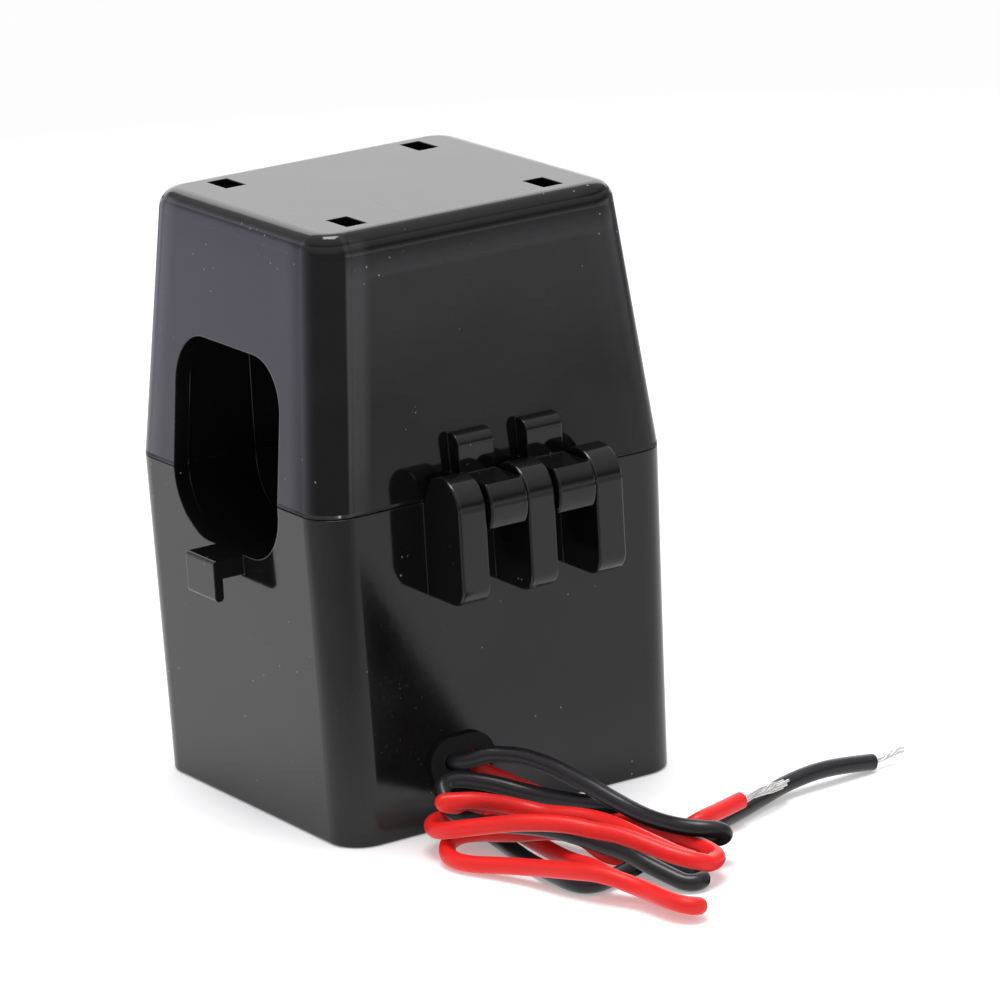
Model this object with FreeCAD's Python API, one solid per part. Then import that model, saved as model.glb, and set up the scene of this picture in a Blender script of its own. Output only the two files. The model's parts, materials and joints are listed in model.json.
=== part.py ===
import FreeCAD, Part
import os
from math import cos, pi, radians, sin, tan

# Split-core current transformer: two moulded half shells that part at the waist, joined by a hinge
# on the +X side and closed by a snap tongue on the -X side. The conductor runs through along Y.
# The origin is the middle of the base, +Z is up, and all lengths are in millimetres.

V = FreeCAD.Vector

# Shell walls and edges
corner_round = 4.5
top_edge_round = 2.6
base_edge_round = 0.4
shell_wall = 2.1
floor_wall = 2.2
roof_wall = 2.2
split_gap = 0.15
base_draw_in_x = 0.05
base_draw_in_y = 0.9
top_taper_x = 2.5
top_taper_y = 3.4

# Conductor window, its top and bottom measured from the split
window_width = 24.8
window_above = 17.4
window_below = 8.0
window_upper_corner = 6.4
window_lower_corner = 7.5

# Lining of the window: collars of the shells, carriers of the cores between them
lining_step = 0.3
lining_wall = 1.5
carrier_gap = 0.2
plate_clearance = 0.2
plate_wall = 1.3
plate_side_gap = 0.4
plate_foot_gap = 1.0
plate_over_yoke = 1.1
plate_corner = 2.0
carrier_foot = 3.1

# Wound strip core, cut into two U halves
core_side_gap = 0.3
core_leg = 4.0
core_depth = 23.0
core_inner_corner = 5.5
core_shell_gap = 2.2
pole_gap = 0.05

# Bobbin and secondary winding round the lower yoke
bobbin_past_corner = 0.5
bobbin_fit = 0.2
bobbin_wall = 1.0
flange_wall = 1.2
flange_half_height = 11.5
flange_half_width = 20.8
flange_corner = 2.0
flange_shell_gap = 2.2
winding_margin_y = 2.3
winding_margin_z = 2.5
winding_corner = 5.0
winding_end_gap = 0.1
tape_wall = 0.3
rib_wall = 1.6
rib_height = 3.3
rib_half_width = 14.0

# Hinge on the +X side: three lugs below, two arms with bosses above, one pin
hinge_offset = 4.2
hinge_middle = 0.7
lug_pitch = 9.75
lug_width = 3.9
lug_radius = 3.9
lug_drop = 11.7
lug_foot_round = 2.5
lug_edge_round = 0.3
arm_side_gap = 0.3
arm_radius = 4.5
arm_back_radius = 3.75
arm_top = 2.95
arm_bottom = 2.45
arm_edge_round = 0.25
boss_rise = 7.8
boss_reach = 1.8
boss_inset = 0.1
boss_round = 1.5
pin_radius = 1.0
pin_press = 0.02
pin_running = 0.06
pin_blind = 1.2
pin_recess = 0.2

# Cable tie hook under the window on the -Y side
hook_width = 6.6
hook_shift = -0.3
hook_reach = 4.25
hook_arm = 2.4
hook_tip = 1.2
hook_drop = 5.2
hook_round = 0.5

# Snap tongue of the upper shell and catch of the lower shell on the -X side
tongue_width = 14.0
tongue_wall = 1.6
tongue_gap = 0.55
tongue_rise = 7.5
tongue_drop = 13.8
tongue_corner = 1.5
slot_width = 9.0
slot_top = 3.5
slot_bottom = 9.8
catch_width = 8.0
catch_profile = ((9.5, 0.1), (8.0, 0.4), (5.6, 0.75), (5.2, 0.75), (3.9, 0.0))

# Clip windows of the roof and clip posts of the upper carrier
clip_x = 14.13
clip_y = 13.99
clip_window_x = 4.74
clip_window_y = 2.9
clip_side_gap = 0.35
clip_foot_rise = 0.6
clip_below_top = 1.1

# Leaf spring and pad over the upper core
pad_length = 28.0
pad_width = 16.0
pad_wall = 2.5
spring_span = 24.0
spring_width = 12.0
spring_wall = 0.4
spring_rise = 5.4

# Leads: the outlet in the +X wall and the joints behind it
lead_diameter = 2.1
lead_height = 8.5
black_lead_y = -9.4
red_lead_y = -6.4
lead_inner_gap = 5.5
grommet_side = 2.2
grommet_flange = 0.7
grommet_lip = 0.9
grommet_fit = 0.02
terminal_radius = 0.45
terminal_length = 5.3
sleeve_gap = 2.7
sleeve_length = 5.3
sleeve_fit = 0.02
sleeve_wall = 0.35

# Loose hank of both leads on the floor, and the cut ends
hank_x = 46.0
hank_y = -6.0
hank_turn = 20.7
hank_length = 44.0
hank_width = 17.0
hank_height = 6.3
hank_round = 1.0
black_start_route = ((30.2, black_lead_y, lead_height), (44.6, -4.0, 5.0))
red_start_route = ((30.2, red_lead_y, lead_height), (44.6, -1.0, 5.0))
black_tail_route = ((51.5, 2.0, 1.1), (47.2, 11.5, 1.1), (38.0, 28.6, 1.1), (39.8, 41.3, 1.1))
red_tail_route = ((53.0, 2.2, 3.3), (48.6, 9.2, 3.3), (45.4, 17.9, 3.3))
black_strands_length = 5.0
red_strands_length = 7.2
black_strands_radius = 0.35
red_strands_radius = 0.65

# Sizes that follow from the ones above
half_window = window_width / 2
core_inner_half = half_window + lining_step + lining_wall + core_side_gap
core_outer = core_inner_half + core_leg
waist_length = 2 * (core_outer + core_shell_gap + shell_wall)
waist_width = 2 * (flange_half_width + flange_shell_gap + shell_wall)
base_length = waist_length - 2 * base_draw_in_x
base_width = waist_width - 2 * base_draw_in_y
top_length = waist_length - 2 * top_taper_x
top_width = waist_width - 2 * top_taper_y
yoke_height = floor_wall + rib_height + flange_half_height
flange_top = yoke_height + flange_half_height
split_height = flange_top + carrier_foot + lining_wall + lining_step + window_below
upper_yoke_low = split_height + window_above + lining_step + lining_wall + core_side_gap
upper_yoke_top = upper_yoke_low + core_leg
total_height = upper_yoke_top + pad_wall + spring_rise + roof_wall
half_bobbin = core_inner_half - core_inner_corner + bobbin_past_corner
plate_start = core_depth / 2 + plate_clearance
carrier_end = plate_start + plate_wall
collar_end = carrier_end + carrier_gap
lower_plate_bottom = flange_top + plate_foot_gap
upper_plate_top = upper_yoke_top + plate_over_yoke
far = base_width + total_height


def prism(plane, points, low, high):
    if plane == "xz":
        corners = [V(u, low, w) for u, w in points]
        reach = V(0, high - low, 0)
    elif plane == "yz":
        corners = [V(low, u, w) for u, w in points]
        reach = V(high - low, 0, 0)
    else:
        corners = [V(u, w, low) for u, w in points]
        reach = V(0, 0, high - low)
    return Part.Face(Part.makePolygon(corners + corners[:1])).extrude(reach)


def box(x0, x1, y0, y1, z0, z1):
    return Part.makeBox(x1 - x0, y1 - y0, z1 - z0, V(x0, y0, z0))


def chosen_edges(solid, wanted):
    return [edge for edge in solid.Edges if wanted([(v.X, v.Y, v.Z) for v in edge.Vertexes])]


def round_where(solid, radius, wanted):
    return solid.makeFillet(radius, chosen_edges(solid, wanted))


def at_corners(plane, corners):
    """Picks the edges that run along the prism's direction through the named corners."""
    first, second = {"xz": (0, 2), "yz": (1, 2), "xy": (0, 1)}[plane]

    def wanted(ends):
        for u, w in corners:
            if all(abs(p[first] - u) < 1e-4 and abs(p[second] - w) < 1e-4 for p in ends):
                return len(ends) == 2
        return False

    return wanted


def rounded_prism(plane, points, low, high, rounds):
    solid = prism(plane, points, low, high)
    for index, radius in rounds:
        solid = round_where(solid, radius, at_corners(plane, [points[index]]))
    return solid


def rectangle(half_u, half_w, middle_u=0.0, middle_w=0.0):
    left = middle_u - half_u
    right = middle_u + half_u
    low = middle_w - half_w
    high = middle_w + half_w
    return [(left, low), (right, low), (right, high), (left, high)]


def rod_y(radius, x, z, y0, y1):
    return Part.makeCylinder(radius, y1 - y0, V(x, y0, z), V(0, 1, 0))


def half_sizes(z):
    """Half length and half width of the outer form at a height."""
    if z <= split_height:
        share = z / split_height
        return (
            (base_length + (waist_length - base_length) * share) / 2,
            (base_width + (waist_width - base_width) * share) / 2,
        )
    share = (z - split_height) / (total_height - split_height)
    return (
        (waist_length + (top_length - waist_length) * share) / 2,
        (waist_width + (top_width - waist_width) * share) / 2,
    )


def tapered_block(z0, z1, inset):
    x0, y0 = (size - inset for size in half_sizes(z0))
    x1, y1 = (size - inset for size in half_sizes(z1))
    if z0 > split_height:
        x0, y0 = (size - inset for size in half_sizes(split_height + 0.0001))
        z0 = split_height
    along = prism("xz", [(-x0, z0), (x0, z0), (x1, z1), (-x1, z1)], -base_width, base_width)
    across = prism("yz", [(-y0, z0), (y0, z0), (y1, z1), (-y1, z1)], -base_length, base_length)
    block = along.common(across)
    rise = (z1 - z0) * 0.9
    return round_where(block, corner_round - inset, lambda ends: abs(ends[0][2] - ends[1][2]) > rise)


def window_block(spread, y0, y1):
    half = half_window + spread
    low = split_height - window_below - spread
    high = split_height + window_above + spread
    points = [(-half, low), (half, low), (half, high), (-half, high)]
    lower = window_lower_corner + spread
    upper = window_upper_corner + spread
    return rounded_prism("xz", points, y0, y1, ((0, lower), (1, lower), (2, upper), (3, upper)))


def both_sides(y0, y1, make):
    return make(y0, y1).fuse(make(-y1, -y0))


def unite(solids):
    joined = solids[0]
    for solid in solids[1:]:
        joined = joined.fuse(solid)
    return joined.removeSplitter()


def below_split(solid):
    return solid.common(box(-far, far, -far, far, -far, split_height))


def above_split(solid):
    return solid.common(box(-far, far, -far, far, split_height + split_gap, far))


def save(solid, name):
    if solid.ShapeType != "Solid" and len(solid.Solids) == 1:
        solid = solid.Solids[0]
    print(name, "valid", solid.isValid(), "solids", len(solid.Solids), "volume", round(solid.Volume, 1))
    solid.exportStep("parts/" + name + ".step")


os.makedirs("parts", exist_ok=True)

# Outer blocks and cavities
lower_block = tapered_block(0.0, split_height, 0.0)
lower_block = round_where(lower_block, base_edge_round, lambda ends: all(p[2] < 0.001 for p in ends))
upper_block = tapered_block(split_height + split_gap, total_height, 0.0)
roof_edges = chosen_edges(upper_block, lambda ends: all(p[2] > total_height - 0.001 for p in ends))
upper_block = upper_block.makeFillet(top_edge_round, roof_edges)
lower_cavity = tapered_block(floor_wall, split_height, shell_wall)
upper_cavity = tapered_block(split_height + split_gap, total_height - roof_wall, shell_wall)
window = window_block(0.0, -far, far)
lining_inner = window_block(lining_step, -far, far)
lining_outer = window_block(lining_step + lining_wall, -far, far)
collar_zone = both_sides(collar_end, far, lambda y0, y1: box(-far, far, y0, y1, 0, total_height))
collars = lining_outer.common(collar_zone)

# Hinge positions
hinge_x = waist_length / 2 + hinge_offset
hinge_z = split_height
wall_x = waist_length / 2
lug_centres = [hinge_middle + step * lug_pitch for step in (-1, 0, 1)]
arm_centres = [hinge_middle + step * lug_pitch for step in (-0.5, 0.5)]
arm_width = lug_pitch - lug_width - 2 * arm_side_gap
pin_start = lug_centres[0] - lug_width / 2 + pin_blind
pin_end = lug_centres[2] + lug_width / 2 - pin_recess


def hinge_lug(y):
    y0 = y - lug_width / 2
    y1 = y + lug_width / 2
    out = hinge_x + lug_radius
    low = hinge_z - lug_drop
    points = [(wall_x - 1, low), (out, low), (out, hinge_z), (wall_x - 1, hinge_z)]
    lug = rounded_prism("xz", points, y0, y1, ((1, lug_foot_round),))
    lug = lug.fuse(rod_y(lug_radius, hinge_x, hinge_z, y0, y1)).removeSplitter()

    def rim(ends):
        in_side = any(all(abs(p[1] - side) < 1e-4 for p in ends) for side in (y0, y1))
        return in_side and max(p[0] for p in ends) > wall_x + 1 and len(ends) == 2

    return round_where(lug, lug_edge_round, rim)


def hinge_arm(y):
    y0 = y - arm_width / 2
    y1 = y + arm_width / 2
    slab = box(hinge_x - 10, hinge_x + 10, y0, y1, hinge_z - arm_bottom, hinge_z + arm_top)
    front = slab.common(box(hinge_x, hinge_x + 10, y0, y1, 0, total_height))
    front = front.common(rod_y(arm_radius, hinge_x, hinge_z, y0, y1))
    back = slab.common(rod_y(arm_back_radius, hinge_x, hinge_z, y0, y1))
    root = box(wall_x - 1.2, hinge_x, y0, y1, hinge_z + split_gap, hinge_z + arm_top)
    arm = unite([front, back, root])

    def rim(ends):
        in_side = any(all(abs(p[1] - side) < 1e-4 for p in ends) for side in (y0, y1))
        return in_side and min(p[0] for p in ends) > hinge_x + 1

    arm = round_where(arm, arm_edge_round, rim)
    b0 = y0 + boss_inset
    b1 = y1 - boss_inset
    out = wall_x + boss_reach
    high = hinge_z + boss_rise
    low = hinge_z + arm_top - 0.5
    boss_form = [(wall_x - 1.6, low), (out, low), (out, high), (wall_x - 1.6, high)]
    boss = rounded_prism("xz", boss_form, b0, b1, ((2, boss_round),))
    return arm.fuse(boss)


# Lower shell
shell = lower_block.cut(lower_cavity)
shell = shell.fuse(below_split(collars).common(lower_block)).cut(lining_inner.common(lower_cavity))
shell = shell.cut(below_split(window))
bobbin_low = yoke_height - flange_half_height
rib_x = half_bobbin - flange_wall / 2
ribs = []
for side in (-1, 1):
    rib_middle = side * rib_x
    rib_form = rectangle(rib_wall / 2, rib_half_width, rib_middle, 0)
    ribs.append(prism("xy", rib_form, floor_wall - 0.5, bobbin_low))
lugs = unite([hinge_lug(y) for y in lug_centres]).cut(lower_cavity)
lugs = lugs.cut(rod_y(pin_radius + pin_press, hinge_x, hinge_z, pin_start, far))
hook_y = -half_sizes(split_height - window_below)[1]
hook_top = split_height - window_below
hook_points = [
    (hook_y + 1.5, hook_top),
    (hook_y - hook_reach, hook_top),
    (hook_y - hook_reach, hook_top - hook_drop),
    (hook_y - hook_reach + hook_tip, hook_top - hook_drop),
    (hook_y - hook_reach + hook_tip, hook_top - hook_arm),
    (hook_y + 1.5, hook_top - hook_arm),
]
hook_rounds = [(i, hook_round) for i in (1, 2, 3)]
hook_low = hook_shift - hook_width / 2
hook = rounded_prism("yz", hook_points, hook_low, hook_low + hook_width, hook_rounds)
catch_points = [(-wall_x + 1, split_height - catch_profile[0][0])]
for drop, proud in catch_profile:
    level = split_height - drop
    catch_points.append((-half_sizes(level)[0] - proud, level))
catch_points = catch_points + [(-wall_x + 1, split_height - catch_profile[-1][0])]
catch = prism("xz", catch_points, -catch_width / 2, catch_width / 2)
shell = unite([shell] + ribs + [lugs, hook, catch])
lead_middle = (black_lead_y + red_lead_y) / 2
lead_spread = abs(black_lead_y - red_lead_y)


def oblong(radius, x0, x1):
    solids = [prism("yz", rectangle(lead_spread / 2, radius, lead_middle, lead_height), x0, x1)]
    for y in (black_lead_y, red_lead_y):
        solids.append(Part.makeCylinder(radius, x1 - x0, V(x0, y, lead_height), V(1, 0, 0)))
    return unite(solids)


grommet_x = half_sizes(lead_height)[0]
lower_shell = shell.cut(oblong(grommet_side, grommet_x - 5, grommet_x + 5))
save(lower_shell, "lower_shell")

# Upper shell
shell = upper_block.common(above_split(upper_block)).cut(upper_cavity)
shell = shell.fuse(above_split(collars).common(upper_block)).cut(lining_inner.common(upper_cavity))
shell = shell.cut(above_split(window))
for sx in (-1, 1):
    for sy in (-1, 1):
        hole = rectangle(clip_window_x / 2, clip_window_y / 2, sx * clip_x, sy * clip_y)
        shell = shell.cut(prism("xy", hole, total_height - roof_wall - 1, total_height + 1))
arms = unite([hinge_arm(y) for y in arm_centres]).cut(upper_cavity)
arms = arms.cut(rod_y(pin_radius + pin_running, hinge_x, hinge_z, -far, far))
inner = -wall_x - tongue_gap
outer = inner - tongue_wall
root_z = split_height + split_gap
top_wall = -half_sizes(split_height + tongue_rise)[0] + 1
tongue_points = [
    (outer, split_height - tongue_drop),
    (inner, split_height - tongue_drop),
    (inner, root_z),
    (-wall_x + 1, root_z),
    (top_wall, split_height + tongue_rise),
    (outer, split_height + tongue_rise - 3),
]
tongue = prism("xz", tongue_points, -tongue_width / 2, tongue_width / 2)
foot = split_height - tongue_drop


def tongue_foot(ends):
    return len(ends) == 2 and all(abs(p[2] - foot) < 1e-4 for p in ends) and abs(ends[0][0] - ends[1][0]) > 1


tongue = round_where(tongue, tongue_corner, tongue_foot)
slot_middle = split_height - (slot_top + slot_bottom) / 2
slot_form = rectangle(slot_width / 2, (slot_bottom - slot_top) / 2, 0, slot_middle)
tongue = tongue.cut(prism("yz", slot_form, outer - 1, inner + 1))
upper_shell = unite([shell, arms, tongue])
save(upper_shell, "upper_shell")
save(rod_y(pin_radius, hinge_x, hinge_z, pin_start, pin_end), "hinge_pin")

# Core halves
outer_corner = core_inner_corner + core_leg
depth = core_depth / 2
yoke_low = yoke_height - core_leg / 2
yoke_top = yoke_height + core_leg / 2
pole = split_height + pole_gap


def core_half(outer_low, outer_high, inner_low, inner_high, corners):
    outer_form = [(-core_outer, outer_low), (core_outer, outer_low)]
    outer_form += [(core_outer, outer_high), (-core_outer, outer_high)]
    inner_form = [(-core_inner_half, inner_low), (core_inner_half, inner_low)]
    inner_form += [(core_inner_half, inner_high), (-core_inner_half, inner_high)]
    half = rounded_prism("xz", outer_form, -depth, depth, [(i, outer_corner) for i in corners])
    inner_rounds = [(i, core_inner_corner) for i in corners]
    return half.cut(rounded_prism("xz", inner_form, -depth - 1, depth + 1, inner_rounds))


save(core_half(yoke_low, split_height, yoke_top, far, (0, 1)), "lower_core")
save(core_half(pole, upper_yoke_top, 0, upper_yoke_low, (2, 3)), "upper_core")

# Core carriers: the middle part of the window's lining, with end plates beside the core legs
tunnel = lining_outer.cut(lining_inner).common(box(-far, far, -carrier_end, carrier_end, 0, total_height))
low_x = half_sizes(lower_plate_bottom)[0] - shell_wall - plate_side_gap
lower_plate = [(-low_x, lower_plate_bottom), (low_x, lower_plate_bottom)]
lower_plate += [(low_x, split_height), (-low_x, split_height)]


def end_plates(form, corners):
    rounds = [(i, plate_corner) for i in corners]
    pair = both_sides(plate_start, carrier_end, lambda y0, y1: rounded_prism("xz", form, y0, y1, rounds))
    return pair.cut(lining_outer)


plates = end_plates(lower_plate, (0, 1))
feet = []
for side in (-1, 1):
    foot_form = rectangle(flange_wall / 2, carrier_end, side * rib_x, 0)
    feet.append(prism("xy", foot_form, flange_top, split_height - window_below))
feet = unite(feet).cut(lining_outer)
lower_core_carrier = unite([below_split(tunnel), plates, feet])
save(lower_core_carrier, "lower_core_carrier")
bottom_x = half_sizes(split_height + split_gap)[0] - shell_wall - plate_side_gap
top_x = half_sizes(upper_plate_top)[0] - shell_wall - plate_side_gap
upper_plate = [(-bottom_x, root_z), (bottom_x, root_z), (top_x, upper_plate_top), (-top_x, upper_plate_top)]
plates = end_plates(upper_plate, (2, 3))
posts = []
post_x = clip_window_x / 2 - clip_side_gap
post_y = clip_window_y / 2 - clip_side_gap
for sx in (-1, 1):
    for sy in (-1, 1):
        low_y, high_y = sorted((sy * plate_start, sy * (clip_y + post_y)))
        x0 = sx * clip_x - post_x
        x1 = sx * clip_x + post_x
        posts.append(box(x0, x1, low_y, high_y, upper_yoke_low + clip_foot_rise, upper_plate_top))
        post_form = rectangle(post_x, post_y, sx * clip_x, sy * clip_y)
        posts.append(prism("xy", post_form, upper_plate_top - 1, total_height - clip_below_top))
upper_core_carrier = unite([above_split(tunnel), plates] + posts)
save(upper_core_carrier, "upper_core_carrier")

# Bobbin, winding and tape round the lower yoke
hole_y = depth + bobbin_fit
hole_z = core_leg / 2 + bobbin_fit
tube_y = hole_y + bobbin_wall
tube_z = hole_z + bobbin_wall
wound_y = flange_half_width - winding_margin_y
wound_z = flange_half_height - winding_margin_z


def wound_ring(inner_y, inner_z, outer_y, outer_z, inner_corner, corner, half):
    outer_form = rectangle(outer_y, outer_z, 0, yoke_height)
    ring = rounded_prism("yz", outer_form, -half, half, [(i, corner) for i in range(4)])
    inner_form = rectangle(inner_y, inner_z, 0, yoke_height)
    rounds = [(i, inner_corner) for i in range(4)] if inner_corner else []
    return ring.cut(rounded_prism("yz", inner_form, -half, half, rounds))


flange_form = rectangle(flange_half_width, flange_half_height, 0, yoke_height)
bobbin = [prism("yz", rectangle(tube_y, tube_z, 0, yoke_height), -half_bobbin, half_bobbin)]
for x0 in (-half_bobbin, half_bobbin - flange_wall):
    flange_rounds = [(i, flange_corner) for i in range(4)]
    bobbin.append(rounded_prism("yz", flange_form, x0, x0 + flange_wall, flange_rounds))
bobbin_hole = prism("yz", rectangle(hole_y, hole_z, 0, yoke_height), -half_bobbin, half_bobbin)
save(unite(bobbin).cut(bobbin_hole), "winding_bobbin")
winding_half = half_bobbin - flange_wall - winding_end_gap
winding = wound_ring(tube_y, tube_z, wound_y, wound_z, 0, winding_corner, winding_half)
save(winding, "secondary_winding")
tape_y = wound_y + tape_wall
tape_z = wound_z + tape_wall
tape_corner = winding_corner + tape_wall
tape = wound_ring(wound_y, wound_z, tape_y, tape_z, winding_corner, tape_corner, winding_half)
save(tape, "winding_tape")

# Pad and leaf spring over the upper core
pad_top = upper_yoke_top + pad_wall
save(prism("xy", rectangle(pad_length / 2, pad_width / 2), upper_yoke_top, pad_top), "core_pad")
roof_low = total_height - roof_wall
spring_radius = ((spring_span / 2) ** 2 + spring_rise**2) / (2 * spring_rise)
spring = rod_y(spring_radius, 0, roof_low - spring_radius, -spring_width / 2, spring_width / 2)
spring = spring.cut(rod_y(spring_radius - spring_wall, 0, roof_low - spring_radius, -far, far))
save(spring.common(box(-far, far, -far, far, pad_top, total_height)), "core_spring")

# Grommet, terminal pins and joint sleeves
lead_radius = lead_diameter / 2
inner_face = grommet_x - shell_wall
grommet = unite([
    oblong(grommet_side, inner_face - grommet_flange, grommet_x + grommet_flange),
    oblong(grommet_side + grommet_lip, inner_face - grommet_flange, inner_face + 0.5),
    oblong(grommet_side + grommet_lip, grommet_x - 0.5, grommet_x + grommet_flange),
])
grommet = grommet.cut(lower_shell)
for y in (black_lead_y, red_lead_y):
    start = V(grommet_x - 10, y, lead_height)
    grommet = grommet.cut(Part.makeCylinder(lead_radius + grommet_fit, 20, start, V(1, 0, 0)))
save(grommet, "lead_grommet")
pins = []
for name, y in (("black", black_lead_y), ("red", red_lead_y)):
    start = V(half_bobbin, y, lead_height)
    pins.append(Part.makeCylinder(terminal_radius, terminal_length, start, V(1, 0, 0)))
    bore = lead_radius + sleeve_fit
    start = V(half_bobbin + sleeve_gap, y, lead_height)
    sleeve = Part.makeCylinder(bore + sleeve_wall, sleeve_length, start, V(1, 0, 0))
    sleeve = sleeve.cut(Part.makeCylinder(bore, sleeve_length, start, V(1, 0, 0)))
    save(sleeve, name + "_joint_sleeve")
save(Part.makeCompound(pins), "terminal_pins")


def lead_tube(name, route, radius):
    """Straight runs joined by tangent arcs, swept with the lead's round section."""
    points = [V(*point) for point in route]
    edges = []
    last = points[0]
    for before, corner, after in zip(points, points[1:], points[2:]):
        arriving = (corner - before).normalize()
        leaving = (after - corner).normalize()
        half_turn = arriving.getAngle(leaving) / 2
        trim = 0.45 * min((corner - before).Length, (after - corner).Length)
        bend = trim / tan(half_turn)
        start = corner - arriving * trim
        end = corner + leaving * trim
        inward = (leaving - arriving).normalize()
        middle = corner + inward * (bend / cos(half_turn) - bend)
        edges.append(Part.LineSegment(last, start).toShape())
        edges.append(Part.Arc(start, middle, end).toShape())
        print(name, "bend radius", round(bend, 1), "diameters", round(bend / lead_diameter, 1))
        last = end
    edges.append(Part.LineSegment(last, points[-1]).toShape())
    spine = Part.Wire(edges)
    section = Part.Wire(Part.makeCircle(radius, points[0], points[1] - points[0]))
    tube = spine.makePipeShell([section], True, False)
    expected = pi * radius**2 * spine.Length
    print(name, "length", round(spine.Length, 1), "volume share", round(tube.Volume / expected, 4))
    save(tube, name)


black_inner = (half_bobbin + lead_inner_gap, black_lead_y, lead_height)
red_inner = (half_bobbin + lead_inner_gap, red_lead_y, lead_height)
lead_tube("black_lead_start", (black_inner,) + black_start_route, lead_radius)
lead_tube("red_lead_start", (red_inner,) + red_start_route, lead_radius)
lead_tube("black_lead_tail", black_tail_route, lead_radius)
lead_tube("red_lead_tail", red_tail_route, lead_radius)

# Bared strands at the cut ends, and the hank as one solid of its outer shape
for name, route, length, radius in (
    ("black_lead_strands", black_tail_route, black_strands_length, black_strands_radius),
    ("red_lead_strands", red_tail_route, red_strands_length, red_strands_radius),
):
    end = V(*route[-1])
    save(Part.makeCylinder(radius, length, end, end - V(*route[-2])), name)
hank_half = hank_length / 2 - hank_width / 2
hank = unite([
    Part.makeCylinder(hank_width / 2, hank_height, V(-hank_half, 0, 0)),
    Part.makeCylinder(hank_width / 2, hank_height, V(hank_half, 0, 0)),
    box(-hank_half, hank_half, -hank_width / 2, hank_width / 2, 0, hank_height),
])
hank = round_where(hank, hank_round, lambda ends: abs(ends[0][2] - ends[-1][2]) < 0.001)
hank.rotate(V(0, 0, 0), V(0, 0, 1), hank_turn)
hank.translate(V(hank_x, hank_y, 0))
save(hank, "lead_hank")
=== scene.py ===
"""Looks, leads and stage of a clamp-on split-core current transformer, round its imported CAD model.

+X points to the hinge and the lead outlet, -Y to the cable tie hook and +Z up. Sizes are in metres,
and points of the leads in millimetres.
"""

import bpy
import json
import math
from mathutils import Matrix, Vector


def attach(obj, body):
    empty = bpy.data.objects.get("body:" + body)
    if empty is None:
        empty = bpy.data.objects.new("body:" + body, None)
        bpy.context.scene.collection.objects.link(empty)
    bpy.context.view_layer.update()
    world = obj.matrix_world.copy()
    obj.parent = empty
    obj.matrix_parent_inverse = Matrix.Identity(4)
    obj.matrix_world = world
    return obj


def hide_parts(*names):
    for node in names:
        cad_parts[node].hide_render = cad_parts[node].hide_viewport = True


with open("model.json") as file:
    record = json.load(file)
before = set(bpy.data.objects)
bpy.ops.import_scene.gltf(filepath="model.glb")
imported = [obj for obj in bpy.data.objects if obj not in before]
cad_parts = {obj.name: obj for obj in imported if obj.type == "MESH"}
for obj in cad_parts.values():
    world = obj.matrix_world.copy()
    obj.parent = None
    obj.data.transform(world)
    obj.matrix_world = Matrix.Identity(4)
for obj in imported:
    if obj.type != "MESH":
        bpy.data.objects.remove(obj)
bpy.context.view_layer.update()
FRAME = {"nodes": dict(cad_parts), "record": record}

bl_info = {
    "name": "Split-core current transformer",
    "version": (1, 0, 0),
    "blender": (4, 5, 0),
    "location": "View3D > Sidebar > Transformer",
    "description": "Materials, leads and stage of a clamp-on split-core current transformer",
    "category": "Object",
}

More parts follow.
